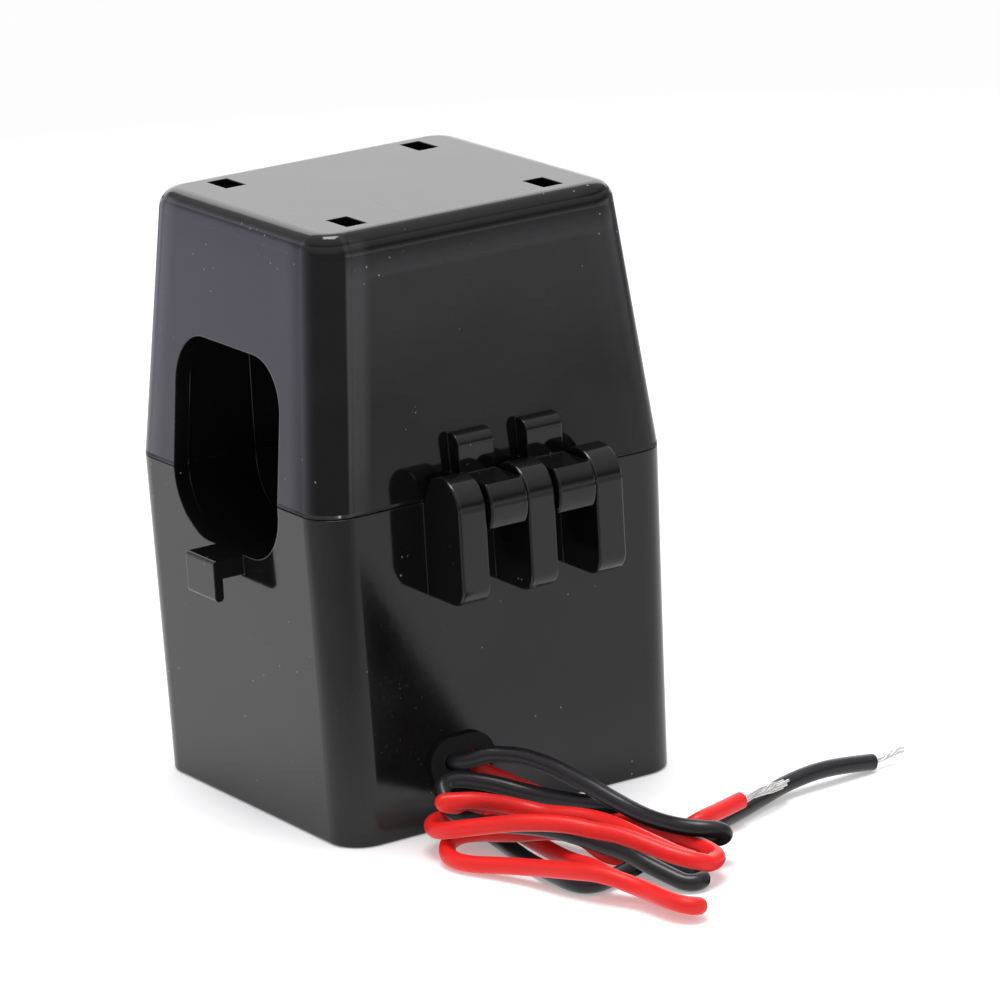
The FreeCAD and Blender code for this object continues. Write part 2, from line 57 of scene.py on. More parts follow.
# Route of each lead in millimetres: control points of one spline, from the joint in the shell to
# the cut end
BLACK_ROUTE = (
    (15.0, -9.4, 8.5), (19.0, -9.4, 8.5), (22.9, -9.4, 8.5), (25.1, -8.3, 8.8), (26.5, -6.5, 9.6),
    (28.0, -5.0, 9.6), (29.8, -3.5, 9.5), (31.9, -2.4, 9.1), (34.3, -1.5, 8.6), (37.0, -0.8, 7.9),
    (39.8, -0.1, 7.3), (42.6, 0.6, 6.5), (45.3, 1.4, 5.7), (48.1, 2.0, 5.2), (50.9, 2.7, 5.0),
    (53.4, 3.5, 5.0), (55.4, 5.0, 4.9), (56.1, 6.8, 4.6), (55.9, 8.1, 3.6), (54.5, 7.6, 2.8),
    (52.3, 6.4, 3.1), (49.3, 5.6, 2.9), (45.9, 5.1, 2.7), (42.7, 4.5, 3.1), (41.0, 3.1, 4.4),
    (40.7, 1.1, 5.0), (39.3, 0.0, 5.1), (37.0, -1.0, 5.0), (34.7, -2.0, 5.0), (32.5, -3.0, 5.1),
    (30.4, -4.3, 5.4), (28.4, -6.2, 6.1), (26.9, -8.0, 6.6), (25.9, -9.7, 7.0), (25.4, -11.6, 7.2),
    (26.1, -12.9, 6.7), (27.6, -13.3, 5.5), (29.8, -13.4, 4.4), (33.5, -13.1, 4.2),
    (37.3, -11.8, 4.6), (40.7, -10.2, 5.0), (43.7, -8.4, 4.9), (46.8, -6.7, 4.4), (49.9, -5.2, 3.7),
    (53.1, -4.1, 3.4), (55.7, -3.6, 2.8), (57.5, -2.9, 2.2), (59.1, -2.1, 1.6), (60.7, -1.3, 1.06),
    (61.6, -0.2, 1.06), (61.0, 1.1, 1.06), (59.4, 1.1, 1.3), (57.0, -0.7, 1.8), (53.7, -2.1, 2.9),
    (49.4, -2.6, 3.2), (44.5, -2.6, 2.8), (39.8, -3.2, 2.5), (35.5, -4.3, 2.2), (31.5, -6.1, 1.7),
    (27.8, -7.8, 1.8), (25.5, -9.7, 2.6), (25.1, -11.3, 2.5), (26.2, -11.3, 1.8),
    (28.1, -10.0, 1.8), (31.0, -9.3, 1.3), (34.7, -9.7, 1.06), (38.9, -10.5, 1.06),
    (42.5, -11.0, 1.06), (45.8, -11.2, 1.06), (48.9, -11.4, 1.06), (51.6, -11.4, 1.06),
    (53.6, -10.7, 1.06), (54.2, -9.1, 1.06), (53.6, -7.0, 1.06), (52.7, -4.7, 1.06),
    (52.1, -2.2, 1.06), (52.0, 1.1, 2.3), (51.9, 4.3, 1.06), (51.3, 6.7, 1.06), (49.4, 8.6, 1.06),
    (47.1, 11.2, 1.06), (45.4, 14.6, 1.06), (43.9, 18.3, 1.06), (42.1, 22.6, 1.12),
    (40.7, 27.1, 1.6), (40.4, 32.1, 2.1), (40.2, 36.7, 1.8), (39.8, 41.2, 1.06),
)
RED_ROUTE = (
    (15.0, -6.4, 8.5), (19.0, -6.4, 8.5), (22.9, -6.4, 8.5), (24.4, -6.5, 7.8), (25.4, -6.2, 7.0),
    (26.7, -4.9, 6.3), (28.6, -3.1, 5.1), (31.3, -1.0, 3.9), (34.5, 0.7, 3.4), (38.1, 1.6, 3.0),
    (42.6, 2.0, 3.0), (47.2, 2.6, 3.3), (51.5, 3.8, 3.1), (54.5, 4.6, 2.8), (56.8, 4.7, 2.8),
    (59.5, 4.5, 2.6), (60.8, 2.4, 2.6), (61.1, 0.7, 3.3), (59.7, -0.9, 3.8), (57.8, -2.1, 4.3),
    (55.7, -3.2, 4.9), (53.5, -4.2, 5.4), (51.4, -5.2, 5.7), (49.4, -6.4, 5.8), (47.2, -7.9, 6.2),
    (44.9, -9.5, 6.3), (42.0, -11.7, 6.1), (39.3, -13.1, 5.5), (36.5, -14.5, 4.8),
    (33.7, -16.3, 4.1), (30.9, -16.9, 3.3), (28.3, -16.0, 3.3), (27.2, -13.8, 3.3),
    (27.7, -12.1, 3.1), (29.6, -11.0, 3.2), (31.9, -10.1, 3.3), (34.4, -9.2, 3.0),
    (37.0, -8.1, 2.2), (40.2, -7.8, 1.7), (44.3, -7.8, 1.5), (48.5, -8.4, 2.0), (52.6, -9.0, 2.8),
    (55.8, -9.1, 2.7), (57.6, -8.2, 2.1), (59.3, -7.1, 1.5), (61.3, -6.4, 1.13), (64.2, -6.3, 1.10),
    (66.7, -5.9, 1.15), (68.5, -5.3, 1.3), (69.6, -5.3, 1.6), (70.0, -6.4, 1.9), (68.9, -7.4, 2.1),
    (66.1, -7.9, 2.2), (62.8, -8.0, 2.3), (60.3, -8.9, 2.7), (58.3, -10.0, 3.2), (56.1, -11.0, 3.4),
    (53.7, -11.8, 3.1), (51.2, -12.5, 2.8), (48.6, -13.0, 2.4), (46.0, -13.6, 2.0),
    (43.4, -14.6, 1.7), (41.0, -15.6, 1.4), (38.8, -16.7, 1.14), (36.5, -17.5, 1.06),
    (33.8, -17.3, 1.06), (31.6, -15.8, 1.8), (31.2, -13.6, 2.2), (32.8, -11.8, 2.4),
    (35.7, -10.9, 2.9), (38.4, -9.7, 3.3), (40.6, -8.3, 3.8), (42.9, -6.6, 4.0), (45.5, -5.2, 3.6),
    (47.6, -4.5, 2.3), (47.9, -2.8, 1.16), (48.0, -0.8, 1.06), (49.4, 0.7, 1.06), (53.3, 1.1, 1.06),
    (56.2, 1.5, 1.06), (57.6, 2.1, 1.06), (57.9, 2.8, 1.4), (57.6, 2.5, 2.1), (56.2, 1.1, 2.7),
    (53.8, -0.1, 3.5), (50.4, -0.5, 3.8), (47.0, -0.8, 4.1), (44.3, -1.2, 4.3), (42.4, -1.8, 4.4),
    (40.6, -2.8, 4.5), (38.8, -4.0, 4.5), (36.8, -5.1, 4.4), (35.1, -6.5, 4.8), (34.0, -8.2, 5.4),
    (33.4, -10.3, 6.1), (32.8, -12.4, 6.7), (31.5, -14.7, 6.8), (30.9, -15.9, 6.8),
    (31.3, -15.4, 6.4), (31.0, -12.7, 5.6), (30.3, -8.6, 4.3), (30.3, -4.4, 2.7), (32.4, -1.3, 1.5),
    (36.2, 1.1, 1.06), (40.2, 3.3, 1.06), (43.7, 5.6, 1.06), (46.5, 8.0, 1.6), (47.8, 9.2, 2.7),
    (47.6, 10.9, 3.0), (46.5, 14.0, 2.9), (45.4, 17.5, 3.0),
)

LEAD_NODES = {
    "black": ("black_lead_start", "black_lead_tail"),
    "red": ("red_lead_start", "red_lead_tail", "lead_hank"),
}

# Bared wires at each cut end, in millimetres: lead, route, stops of their middle line past the cut
# end, half width of the bundle, number of wires, radius of a wire
BARED_ENDS = (
    ("black", BLACK_ROUTE, ((39.8, 43.2, 1.0), (39.5, 44.5, 1.8), (39.9, 46.0, 1.5)),
     0.24, 9, 0.13),
    ("red", RED_ROUTE, ((45.0, 20.4, 3.3), (43.2, 24.2, 2.6), (42.2, 26.4, 2.3)),
     0.44, 13, 0.16),
)
STRAND_STEPS = 12

# Upper shell: where it starts and ends, and how far its faces lean in per metre of height
SPLIT_Z, ROOF_Z = 0.0414, 0.0750
LEAN_X, LEAN_Y = 0.074, 0.101
# Bands over which its faces fall softly towards their rounded edges, how deep they fall, and the
# bands where that starts above the split and ends below the roof
FALL_X, FALL_Y, FALL_ROOF = (0.0153, 0.0183), (0.0176, 0.0206), (0.0692, 0.0724)
FALL_DEPTH = 0.00016
FALL_START = (SPLIT_Z + 0.0002, SPLIT_Z + 0.0006)
FALL_END = (ROOF_Z - 0.0002, ROOF_Z - 0.0012)
# Radius that the shader gives to the moulded edges of both shells
EDGE_RADIUS = 0.00022

# Colours of marks on the pieces and of the plain pieces
DUST = (0.42, 0.41, 0.40)
SCUFF = (0.2, 0.2, 0.2)
HANDLING = (0.5, 0.48, 0.46)
RESIN = (0.16, 0.12, 0.09)
PIN_STEEL = (0.60, 0.60, 0.61)
SPRING_STEEL = (0.5, 0.5, 0.52)
NYLON = (0.74, 0.71, 0.63)
RUBBER = (0.005, 0.005, 0.0052)
TIN = (0.93, 0.92, 0.90)
PAPER = ((0.80, 0.80, 0.80), (0.815, 0.815, 0.815))

# Camera: place, azimuth, elevation and roll in degrees, lens and sensor width in millimetres
CAMERA_PLACE = (0.62495, -0.37653, 0.24325)
CAMERA_TURN = (57.991, 16.007, -3.27)
CAMERA_LENS, SENSOR_WIDTH = 220.6, 36.0

# Softboxes: name, place, target, width, height, radiance
SOFTBOXES = (
    ("back_softbox", (-0.66, 0.41, 0.30), (0.0, 0.0, 0.045), 1.05, 0.62, 1.14),
    ("top_softbox", (0.02, -0.02, 0.95), (0.0, 0.0, 0.0), 0.46, 0.46, 9.0),
)

# Floor: its place, and the number of its corners
FLOOR_PLACE = (0.01, 0.0, -0.00005)
FLOOR_CORNERS = 48
# Ramps over the floor whose mirror image in the polished faces is darkened, a painted dark
# reflection: direction, start and end from its middle. The three of the patch together bound a
# painted dark reflection beside the foot of the hinge face, where the floor itself stays white.
FRONT_RAMP = ((0.53, -0.85, 0.0), 0.02, 0.08)
RIGHT_RAMP = ((0.86, 0.51, 0.0), 0.0, 0.06)
BEYOND_RAMP = ((1.0, 0.0, 0.0), 0.018, 0.028)
PATCH_RAMPS = (
    ((0.363, -0.932, 0.0), 0.0034, 0.0050),
    ((-0.515, 0.857, 0.0), -0.0262, -0.0240),
    ((0.367, 0.93, 0.0), 0.0044, 0.0060),
)
# How far each ramp darkens the mirrored floor into painted dark reflection, and how far all of it is
# darkened
FRONT_DIM, RIGHT_DIM, PATCH_DIM, FLOOR_DIM = 0.36, 0.10, 0.75, 0.18
# Strength of the floor's own glow, and of the glow that is mirrored past the foot
FLOOR_GLOW, MIRRORED_GLOW = 0.30, 1.26

# Light tent: strength of its brightest place, its even part, and what each part of it adds
TENT_PEAK, TENT_EVEN = 2.6, 0.26
LEFT_WALL, RIGHT_STRIP, RIGHT_SIDE, RIGHT_GAP = 0.82, 0.75, 0.45, 0.12
ROOF_EDGE, ROOF_MIDDLE = 0.20, 0.25
WARM, COOL = (1.0, 0.99, 1.03), (0.98, 0.95, 1.14)

# Materials by slot, once their operator has made them
MATERIALS = {}


class TransformerSettings(bpy.types.PropertyGroup):
    """Sizes and colours of the look."""

    lead_diameter: bpy.props.FloatProperty(
        name="Lead diameter", description="Outside diameter of both leads",
        default=0.0021, min=0.0015, max=0.003, unit="LENGTH", precision=5)
    red_colour: bpy.props.FloatVectorProperty(
        name="Red insulation", description="Colour of the red lead",
        default=(0.88, 0.021, 0.018), subtype="COLOR", size=3, min=0.0, max=1.0)
    black_colour: bpy.props.FloatVectorProperty(
        name="Black insulation", description="Colour of the black lead",
        default=(0.0135, 0.0120, 0.0140), subtype="COLOR", size=3, min=0.0, max=1.0)
    shell_colour: bpy.props.FloatVectorProperty(
        name="Shell plastic", description="Colour of the moulded shells",
        default=(0.0045, 0.0045, 0.0048), subtype="COLOR", size=3, min=0.0, max=1.0)
    shell_roughness: bpy.props.FloatProperty(
        name="Shell roughness", description="Roughness of the polished shell faces",
        default=0.075, min=0.0, max=1.0, subtype="FACTOR")
    dust: bpy.props.FloatProperty(
        name="Dust", description="Amount of dust specks on the shells",
        default=1.0, min=0.0, max=3.0)
    tape_colour: bpy.props.FloatVectorProperty(
        name="Winding tape", description="Colour of the tape round the winding",
        default=(0.62, 0.40, 0.035), subtype="COLOR", size=3, min=0.0, max=1.0)
    copper_colour: bpy.props.FloatVectorProperty(
        name="Winding copper", description="Colour of the enamelled wire",
        default=(0.50, 0.17, 0.06), subtype="COLOR", size=3, min=0.0, max=1.0)
    floor_radius: bpy.props.FloatProperty(
        name="Floor radius", description="Radius of the white floor",
        default=0.42, min=0.2, max=1.0, unit="LENGTH")
    backdrop: bpy.props.FloatVectorProperty(
        name="Backdrop", description="Colour behind the object",
        default=(0.985, 0.985, 0.985), subtype="COLOR", size=3, min=0.0, max=1.0)


class Socket:
    """One output socket with arithmetic."""

    def __init__(self, sheet, socket):
        self.sheet = sheet
        self.socket = socket

    def __add__(self, other):
        return self.sheet.math("ADD", self, other)

    def __radd__(self, other):
        return self.sheet.math("ADD", other, self)

    def __sub__(self, other):
        return self.sheet.math("SUBTRACT", self, other)

    def __rsub__(self, other):
        return self.sheet.math("SUBTRACT", other, self)

    def __mul__(self, other):
        return self.sheet.math("MULTIPLY", self, other)

    def __rmul__(self, other):
        return self.sheet.math("MULTIPLY", other, self)

    def __truediv__(self, other):
        return self.sheet.math("DIVIDE", self, other)

    def __rtruediv__(self, other):
        return self.sheet.math("DIVIDE", other, self)


class Sheet:
    """Node tree of one material or of the world."""

    def __init__(self, owner):
        owner.use_nodes = True
        self.tree = owner.node_tree
        self.tree.nodes.clear()

    def node(self, kind, settings=None, **values):
        """Adds a node: its settings come first, then the values or links of its sockets.

        A socket goes by its name, with _ for a space, or as i and its number.
        """
        node = self.tree.nodes.new(kind)
        for key, value in (settings or {}).items():
            setattr(node, key, value)
        for key, value in values.items():
            self.feed(node, key, value)
        return node

    def feed(self, node, key, value):
        """Links a socket or sets its value. None leaves it as it is."""
        place = int(key[1:]) if key[0] == "i" and key[1:].isdigit() else key.replace("_", " ")
        target = node.inputs[place]
        if isinstance(value, Socket):
            self.tree.links.new(value.socket, target)
        elif value is not None:
            target.default_value = value

    def out(self, node, place=0):
        return Socket(self, node.outputs[place])

    def math(self, operation, first, second):
        return self.out(self.node("ShaderNodeMath", {"operation": operation}, i0=first, i1=second))

    def size_of(self, value):
        """Absolute value."""
        return self.out(self.node("ShaderNodeMath", {"operation": "ABSOLUTE"}, i0=value))

    def vector_math(self, operation, first, second=None, place=0):
        node = self.node("ShaderNodeVectorMath", {"operation": operation}, i0=first, i1=second)
        return self.out(node, place)

    def clamp(self, value, low, high, to_low=0.0, to_high=1.0):
        """Maps low..high to to_low..to_high and holds it there."""
        node = self.node("ShaderNodeMapRange", {"clamp": True}, i0=value, i1=low, i2=high,
                         i3=to_low, i4=to_high)
        return self.out(node)

    def between(self, noise, low=0.0, high=1.0):
        """Maps the usual range of a noise to low..high."""
        return self.clamp(noise, 0.3, 0.7, low, high)

    def place(self, scale=(1.0, 1.0, 1.0)):
        """Object coordinates in metres. A higher scale makes a pattern shorter along an axis."""
        coordinates = self.node("ShaderNodeTexCoord")
        return self.vector_math("MULTIPLY", self.out(coordinates, "Object"), scale)

    def noise(self, vector, scale, detail=2.0, roughness=0.5):
        node = self.node("ShaderNodeTexNoise", None, Vector=vector, Scale=scale, Detail=detail,
                         Roughness=roughness)
        return self.out(node, "Fac")

    def cells(self, vector, scale):
        """Distance to the nearest of many scattered points."""
        node = self.node("ShaderNodeTexVoronoi", None, Vector=vector, Scale=scale)
        return self.out(node, "Distance")

    def bands(self, vector, scale, distortion):
        """Slightly wavy bands across X."""
        node = self.node("ShaderNodeTexWave", {"wave_type": "BANDS", "bands_direction": "X"},
                         Vector=vector, Scale=scale, Distortion=distortion, Detail=1.0)
        return self.out(node, "Fac")

    def axis(self, vector, index):
        return self.out(self.node("ShaderNodeSeparateXYZ", None, i0=vector), index)

    def blend(self, factor, first, second):
        """Mix of two colours."""
        node = self.node("ShaderNodeMix", {"data_type": "RGBA"}, i0=factor, i6=first, i7=second)
        return self.out(node, 2)

    def bump(self, height, distance, strength=1.0, normal=None):
        node = self.node("ShaderNodeBump", None, Strength=strength, Distance=distance,
                         Height=height, Normal=normal)
        return self.out(node)

    def mix_shaders(self, factor, first, second):
        return self.out(self.node("ShaderNodeMixShader", None, i0=factor, i1=first, i2=second))

    def surface(self, shader, output="ShaderNodeOutputMaterial"):
        self.node(output, None, Surface=shader)

    def plastic(self, **values):
        self.surface(self.out(self.node("ShaderNodeBsdfPrincipled", None, **values)))


def rgba(colour, gain=1.0):
    return (colour[0] * gain, colour[1] * gain, colour[2] * gain, 1.0)


def new_sheet(name):
    material = bpy.data.materials.new(name)
    return material, Sheet(material)


def crown_height(sheet, spot):
    """Soft fall of the upper shell's faces over the last 3 mm before their rounded edges."""
    x, y, z = (sheet.axis(spot, index) for index in range(3))
    rise = sheet.clamp(z, SPLIT_Z, ROOF_Z, 0.0, ROOF_Z - SPLIT_Z)
    side_x = sheet.clamp(sheet.size_of(x) + rise * LEAN_X, *FALL_X)
    side_y = sheet.clamp(sheet.size_of(y) + rise * LEAN_Y, *FALL_Y)
    top = sheet.clamp(z, *FALL_ROOF)
    within = sheet.clamp(z, *FALL_START) * sheet.clamp(z, *FALL_END)
    return (side_x * side_x + side_y * side_y + top * top) * within * -FALL_DEPTH


def shell_material(settings):
    """Polished black moulding with faint smears, dust specks and hair scratches."""
    material, sheet = new_sheet("black_shell")
    spot = sheet.place()
    smear = sheet.noise(spot, scale=38.0, detail=3.0, roughness=0.6)
    fine = sheet.noise(spot, scale=520.0)
    rare = sheet.noise(spot, scale=90.0, detail=1.0, roughness=0.4)
    speck = sheet.clamp(sheet.cells(spot, scale=640.0), 0.05, 0.09, 1.0, 0.0)
    speck = speck * sheet.clamp(rare, 0.57, 0.63) * settings.dust
    drawn = sheet.noise(sheet.place((1.0, 14.0, 14.0)), scale=210.0, detail=1.0, roughness=0.3)
    hair = sheet.clamp(drawn, 0.742, 0.76) * sheet.clamp(smear, 0.45, 0.6)
    film = sheet.clamp(smear, 0.48, 0.72) * 0.10
    colour = sheet.blend(speck * 0.65 + film * 0.12, rgba(settings.shell_colour), rgba(DUST))
    rough = settings.shell_roughness + film * 0.55 + hair * 0.18 + speck * 0.5
    # The normal is built up from the largest form to the finest: edges, waves, crowned faces, marks
    edge = sheet.out(sheet.node("ShaderNodeBevel", {"samples": 6}, Radius=EDGE_RADIUS))
    waves = sheet.noise(spot, scale=55.0, detail=1.0, roughness=0.4)
    wavy = sheet.bump(waves, distance=0.00035, strength=0.22, normal=edge)
    crowned = sheet.bump(crown_height(sheet, spot), distance=1.0, normal=wavy)
    marks = fine * 0.35 + hair * 0.5 + speck
    marked = sheet.bump(marks, distance=0.00002, strength=0.5, normal=crowned)
    sheet.plastic(Base_Color=colour, Roughness=rough, IOR=1.5, Normal=marked)
    return material


def carrier_material(settings):
    """Black moulding with a slightly duller, eroded face."""
    material, sheet = new_sheet("carrier_plastic")
    spot = sheet.place()
    grain = sheet.noise(spot, scale=1500.0, detail=3.0, roughness=0.6)
    smear = sheet.noise(spot, scale=60.0)
    worn = sheet.clamp(smear, 0.5, 0.8) * 0.05
    colour = sheet.blend(worn, rgba(settings.shell_colour, 1.3), rgba(SCUFF))
    rough = sheet.between(smear, 0.14, 0.26)
    normal = sheet.bump(grain, distance=0.00002, strength=0.3)
    sheet.plastic(Base_Color=colour, Roughness=rough, IOR=1.5, Normal=normal)
    return material


def core_material():
    """Cut wound strip: thin lamination lines round the U, resin between."""
    material, sheet = new_sheet("core_strip")
    spot = sheet.place()
    lines = sheet.bands(sheet.place((1.0, 0.0, 0.0)), scale=520.0, distortion=0.6)
    patch = sheet.noise(spot, scale=140.0, detail=3.0, roughness=0.6)
    stain = sheet.clamp(sheet.noise(spot, scale=40.0), 0.55, 0.75) * 0.5
    grey = sheet.clamp(lines, 0.2, 0.8, 0.22, 0.42) * sheet.clamp(patch, 0.2, 0.8, 0.85, 1.1)
    steel = sheet.out(sheet.node(
        "ShaderNodeCombineColor", None, Red=grey, Green=grey * 0.99, Blue=grey * 0.97))
    colour = sheet.blend(stain, steel, rgba(RESIN))
    rough = sheet.between(patch, 0.28, 0.45)
    normal = sheet.bump(lines, distance=0.00004, strength=0.5)
    sheet.plastic(Base_Color=colour, Metallic=0.9, Roughness=rough, Normal=normal)
    return material


def metal_material(name, tone, rough, stretch, scale, depth):
    """Drawn or rolled metal with fine lines along the axes of the lowest stretch."""
    material, sheet = new_sheet(name)
    lines = sheet.noise(sheet.place(stretch), scale, detail=3.0, roughness=0.6)
    cloud = sheet.clamp(sheet.noise(sheet.place(), scale=180.0), 0.35, 0.7)
    colour = sheet.blend(cloud, rgba(tone), rgba(tone, 0.72))
    polish = sheet.between(lines, *rough)
    normal = sheet.bump(lines, depth, strength=0.6)
    sheet.plastic(Base_Color=colour, Metallic=1.0, Roughness=polish, Normal=normal)
    return material


def copper_material(settings):
    """Enamelled turns laid side by side along the bobbin, painted shade between them, painted light
    on crests.
    """
    material, sheet = new_sheet("winding_copper")
    turns = sheet.bands(sheet.place(), scale=1300.0, distortion=1.2)
    cloud = sheet.noise(sheet.place((1.0, 0.2, 0.2)), scale=260.0)
    # Painted shade and light: the colour darkens to a quarter of the copper in the grooves between
    # turns and brightens past it on their crests
    lit = sheet.clamp(turns, 0.1, 0.5, 0.35, 1.0) * sheet.between(cloud, 0.8, 1.1)
    copper = settings.copper_colour
    colour = sheet.blend(lit, rgba(copper, 0.25), rgba(copper, 1.15))
    rough = sheet.between(cloud, 0.25, 0.4)
    normal = sheet.bump(turns, distance=0.00008, strength=0.8)
    sheet.plastic(Base_Color=colour, Metallic=0.75, Roughness=rough, Coat_Weight=0.4,
                  Coat_Roughness=0.12, Normal=normal)
    return material


def tape_material(settings):
    """Yellow polyester tape with creases and one lap edge."""
    material, sheet = new_sheet("tape")
    spot = sheet.place()
    crease = sheet.noise(sheet.place((1.0, 0.25, 0.25)), scale=240.0, detail=3.0, roughness=0.55)
    lap = sheet.clamp(sheet.axis(spot, 0), 0.0021, 0.0024)
    cloud = sheet.between(sheet.noise(spot, scale=70.0))
    shade = cloud * 0.35 + lap * 0.25
    colour = sheet.blend(shade, rgba(settings.tape_colour), rgba(settings.tape_colour, 0.62))
    rough = sheet.between(crease, 0.22, 0.38)
    normal = sheet.bump(crease + lap, distance=0.00012, strength=0.5)
    sheet.plastic(Base_Color=colour, Roughness=rough, Coat_Weight=0.3, Normal=normal)
    return material


def matt_material(name, tone, rough, scale, depth, shine=0.5):
    """Moulded nylon or rubber with a fine grain."""
    material, sheet = new_sheet(name)
    spot = sheet.place()
    grain = sheet.noise(spot, scale, detail=3.0, roughness=0.6)
    cloud = sheet.clamp(sheet.noise(spot, scale=90.0), 0.35, 0.7)
    colour = sheet.blend(cloud, rgba(tone), rgba(tone, 0.78))
    dull = sheet.between(grain, *rough)
    normal = sheet.bump(grain, depth, strength=0.5)
    sheet.plastic(Base_Color=colour, Roughness=dull, Specular_IOR_Level=shine, Normal=normal)
    return material


def insulation_material(name, colour, darker, rough, marks, shine):
    """Extruded insulation: soft gloss, slight colour drift, faint handling marks."""
    material, sheet = new_sheet(name)
    spot = sheet.place()
    skin = sheet.noise(spot, scale=2600.0)
    drift = sheet.noise(spot, scale=120.0)
    mark = sheet.clamp(sheet.cells(spot, scale=420.0), 0.06, 0.14, 1.0, 0.0)
    mark = mark * sheet.clamp(drift, 0.5, 0.62)
    base = sheet.blend(sheet.clamp(drift, 0.35, 0.7), rgba(colour), rgba(colour, darker))
    tone = sheet.blend(mark * marks, base, rgba(HANDLING))
    gloss = sheet.between(drift, *rough) + mark * 0.2
    normal = sheet.bump(skin + drift * 3.0, distance=0.00002, strength=0.45)
    sheet.plastic(Base_Color=tone, Roughness=gloss, IOR=1.48, Specular_IOR_Level=shine,
                  Normal=normal)
    return material


def make_materials(settings):
    """One material for each slot of the record."""
    return {
        "black_shell": shell_material(settings),
        "carrier_plastic": carrier_material(settings),
        "core_strip": core_material(),
        "pin_steel": metal_material(
            "pin_steel", PIN_STEEL, rough=(0.18, 0.34), stretch=(30.0, 1.0, 30.0), scale=90.0,
            depth=0.00002),
        "spring_steel": metal_material(
            "spring_steel", SPRING_STEEL, rough=(0.2, 0.36), stretch=(1.0, 24.0, 1.0), scale=90.0,
            depth=0.00002),
        "bobbin_plastic": matt_material(
            "bobbin_plastic", NYLON, rough=(0.38, 0.52), scale=1400.0, depth=0.00003),
        "winding_copper": copper_material(settings),
        "tape": tape_material(settings),
        "pad_rubber": matt_material(
            "pad_rubber", RUBBER, rough=(0.45, 0.65), scale=1800.0, depth=0.00004, shine=0.2),
        "red_insulation": insulation_material(
            "red_insulation", settings.red_colour, darker=0.90, rough=(0.30, 0.44), marks=0.05,
            shine=0.34),
        "black_insulation": insulation_material(
            "black_insulation", settings.black_colour, darker=0.8, rough=(0.26, 0.40), marks=0.12,
            shine=0.5),
        "tinned_strands": metal_material(
            "tinned_strands", TIN, rough=(0.16, 0.36), stretch=(1.0, 1.0, 1.0), scale=1500.0,
            depth=0.00006),
    }


def metres(point):
    """A point given in millimetres, in metres."""
    return tuple(value / 1000.0 for value in point)


def spline_tube(name, points, radius, material, roundness=6):
    """One open NURBS tube over control points in millimetres, which no polished face mirrors."""
    curve = bpy.data.curves.new(name, "CURVE")
    curve.dimensions = "3D"
    curve.bevel_depth = radius
    curve.bevel_resolution = roundness
    curve.resolution_u = 10
    curve.use_fill_caps = True
    spline = curve.splines.new("NURBS")
    spline.points.add(len(points) - 1)
    for point, spot in zip(spline.points, points):
        point.co = (*metres(spot), 1.0)
    spline.order_u = 3
    spline.use_endpoint_u = True
    curve.materials.append(material)
    tube = bpy.data.objects.new(name, curve)
    tube.visible_glossy = False
    bpy.context.scene.collection.objects.link(tube)
    return tube


def route_length(points, steps=12):
    """Length in metres of the quadratic spline over the control points."""
    spots = [Vector(point) for point in points]
    knots = [spots[0]]
    knots += [(a + b) / 2 for a, b in zip(spots[1:-1], spots[2:-1])]
    knots.append(spots[-1])
    total = 0.0
    for start, middle, end in zip(knots, spots[1:-1], knots[1:]):
        last = start
        for i in range(1, steps + 1):
            t = i / steps
            here = start * (1 - t) ** 2 + middle * 2 * t * (1 - t) + end * t * t
            total += (here - last).length
            last = here
    return total / 1000.0


def bezier(stops, share):
    """Point of the Bezier curve over the stops."""
    points = list(stops)
    while len(points) > 1:
        points = [a.lerp(b, share) for a, b in zip(points, points[1:])]
    return points[0]


def strand_points(route, reach, spread, count, index):
    """Path of one bared wire, wound round the middle line of its bundle."""
    end = Vector(route[-1])
    along = (end - Vector(route[-2])).normalized()
    side = along.cross(Vector((0, 0, 1))).normalized()
    over = side.cross(along)
    stops = [end - along * 1.0, end + along * 0.8] + [Vector(spot) for spot in reach]
    # Every third wire runs near the middle, and the wires end one after the other
    ring = 0.45 if index % 3 == 0 else 1.0
    reached = 1.0 - 0.09 * ((index * 5) % 4)
    points = []
    for step in range(STRAND_STEPS + 1):
        share = reached * step / STRAND_STEPS
        where = bezier(stops, share)
        angle = index * 2 * math.pi / count + share * 5.2 + 0.5 * math.sin(index * 1.7 + share * 9)
        fray = 0.78 + 0.30 * math.sin(share * 11 + index * 0.9) + 0.45 * share * share
        width = spread * ring * fray
        points.append(where + side * math.cos(angle) * width + over * math.sin(angle) * width)
    return points


def lay_strands(material):
    """Twisted fine wires at the two cut ends, frayed towards their tips."""
    made = {}
    for colour, route, reach, spread, count, wire in BARED_ENDS:
        made[colour] = []
        for index in range(count):
            points = strand_points(route, reach, spread, count, index)
            piece = spline_tube("%s_strand_%d" % (colour, index), points, wire / 1000.0, material,
                                roundness=3)
            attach(piece, "base")
            made[colour].append(piece)
        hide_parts(colour + "_lead_strands")
    return made


class TRANSFORMER_OT_camera(bpy.types.Operator):
    """Puts the camera at the photograph's viewpoint"""

    bl_idname = "transformer.camera"
    bl_label = "Camera"

    def execute(self, context):
        azimuth, elevation, roll = (math.radians(a) for a in CAMERA_TURN)
        back = Vector((math.sin(azimuth) * math.cos(elevation),
                       -math.cos(azimuth) * math.cos(elevation), math.sin(elevation)))
        right = Vector((math.cos(azimuth), math.sin(azimuth), 0.0))
        up = back.cross(right)
        right, up = (right * math.cos(roll) + up * math.sin(roll),
                     up * math.cos(roll) - right * math.sin(roll))
        data = bpy.data.cameras.new("camera")
        data.lens = CAMERA_LENS
        data.sensor_width = SENSOR_WIDTH
        data.clip_start = 0.01
        data.clip_end = 10.0
        camera = bpy.data.objects.new("camera", data)
        turn = Matrix((right, up, back)).transposed().to_4x4()
        camera.matrix_world = Matrix.Translation(CAMERA_PLACE) @ turn
        context.scene.collection.objects.link(camera)
        context.scene.camera = camera
        return {"FINISHED"}


